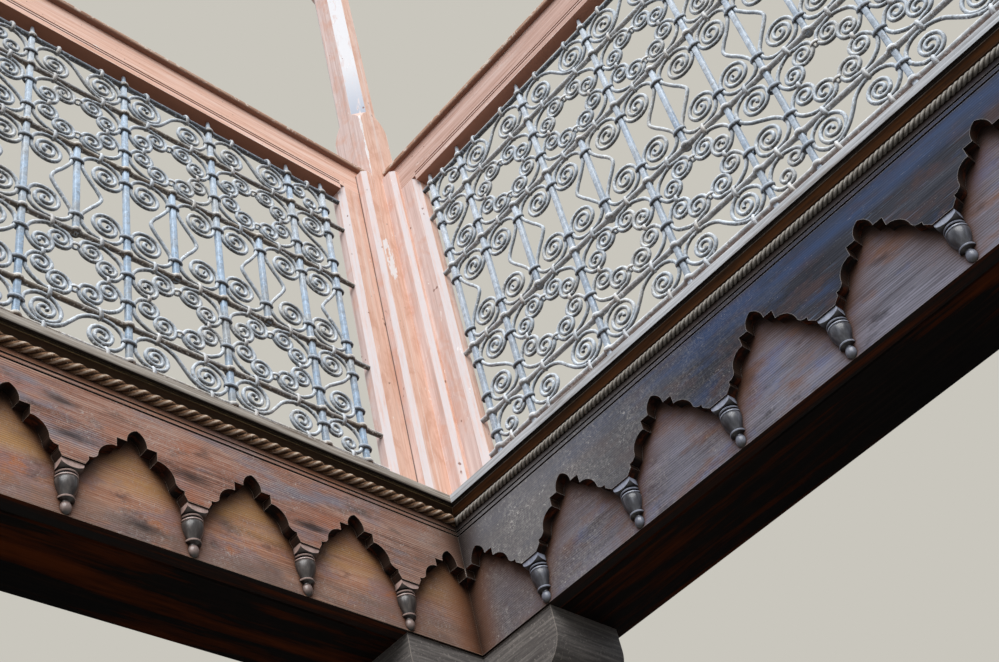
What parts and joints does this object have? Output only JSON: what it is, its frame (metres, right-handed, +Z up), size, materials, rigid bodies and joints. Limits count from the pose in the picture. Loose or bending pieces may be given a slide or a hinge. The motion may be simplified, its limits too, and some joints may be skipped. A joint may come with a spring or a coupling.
{
  "type": "courtyard gallery corner screen",
  "caption": "Inside corner of a courtyard gallery: scrolled wrought-iron screens in timber frames meeting at a post, on a sill over a scalloped, carved fascia with turned drops.",
  "frame": {"origin": "middle of the seat under the corner bolster, at the lowest level of the part", "axes": "+Z up; +X along the right arm away from the corner post; -Y along the left arm, away from the corner post; the court lies towards +X and -Y"},
  "size_m": [2.533, 1.809, 2.87],
  "materials": {
    "carved_board_left": "old oiled cedar, reddish brown, dusty",
    "carved_board_right": "old oiled cedar weathered to grey brown",
    "turned_wood": "turned wood, worn and dusty",
    "rope_wood": "carved twist, dusty on top",
    "cornice_wood": "dark stained moulding with ochre edges",
    "weathered_sill": "bare weathered grey wood",
    "aged_beam": "smoke-darkened softwood",
    "bolster_wood": "dusty dark wood",
    "painted_frame": "thin salmon limewash worn to pale edges",
    "wrought_iron": "old grey-blue paint with brown dust"
  },
  "bodies": {
    "root": {"corner_post": "painted_frame", "left_backboard": "carved_board_left", "left_bottom_rail": "painted_frame", "left_corner_batten": "painted_frame", "left_corner_bolster": "bolster_wood", "left_corner_jamb": "painted_frame", "left_cornice": "cornice_wood", "left_edge_beam": "aged_beam", "left_end_batten": "painted_frame", "left_end_bolster": "bolster_wood", "left_end_jamb": "painted_frame", "left_end_post": "painted_frame", "left_floor_boards": "aged_beam", "left_grille_bars": "wrought_iron", "left_lambrequin": "carved_board_left", "left_pendants": "turned_wood", "left_rail_cap": "painted_frame", "left_rope_moulding": "rope_wood", "left_sill": "weathered_sill", "left_sole_plate": "aged_beam", "left_top_rail": "painted_frame", "right_backboard": "carved_board_right", "right_bottom_rail": "painted_frame", "right_corner_batten": "painted_frame", "right_corner_bolster": "bolster_wood", "right_corner_jamb": "painted_frame", "right_cornice": "cornice_wood", "right_edge_beam": "aged_beam", "right_end_batten": "painted_frame", "right_end_bolster": "bolster_wood", "right_end_jamb": "painted_frame", "right_end_post": "painted_frame", "right_floor_boards": "aged_beam", "right_grille_bars": "wrought_iron", "right_lambrequin": "carved_board_right", "right_pendants": "turned_wood", "right_rail_cap": "painted_frame", "right_rope_moulding": "rope_wood", "right_sill": "weathered_sill", "right_sole_plate": "aged_beam", "right_top_rail": "painted_frame"}
  },
  "joints": []
}
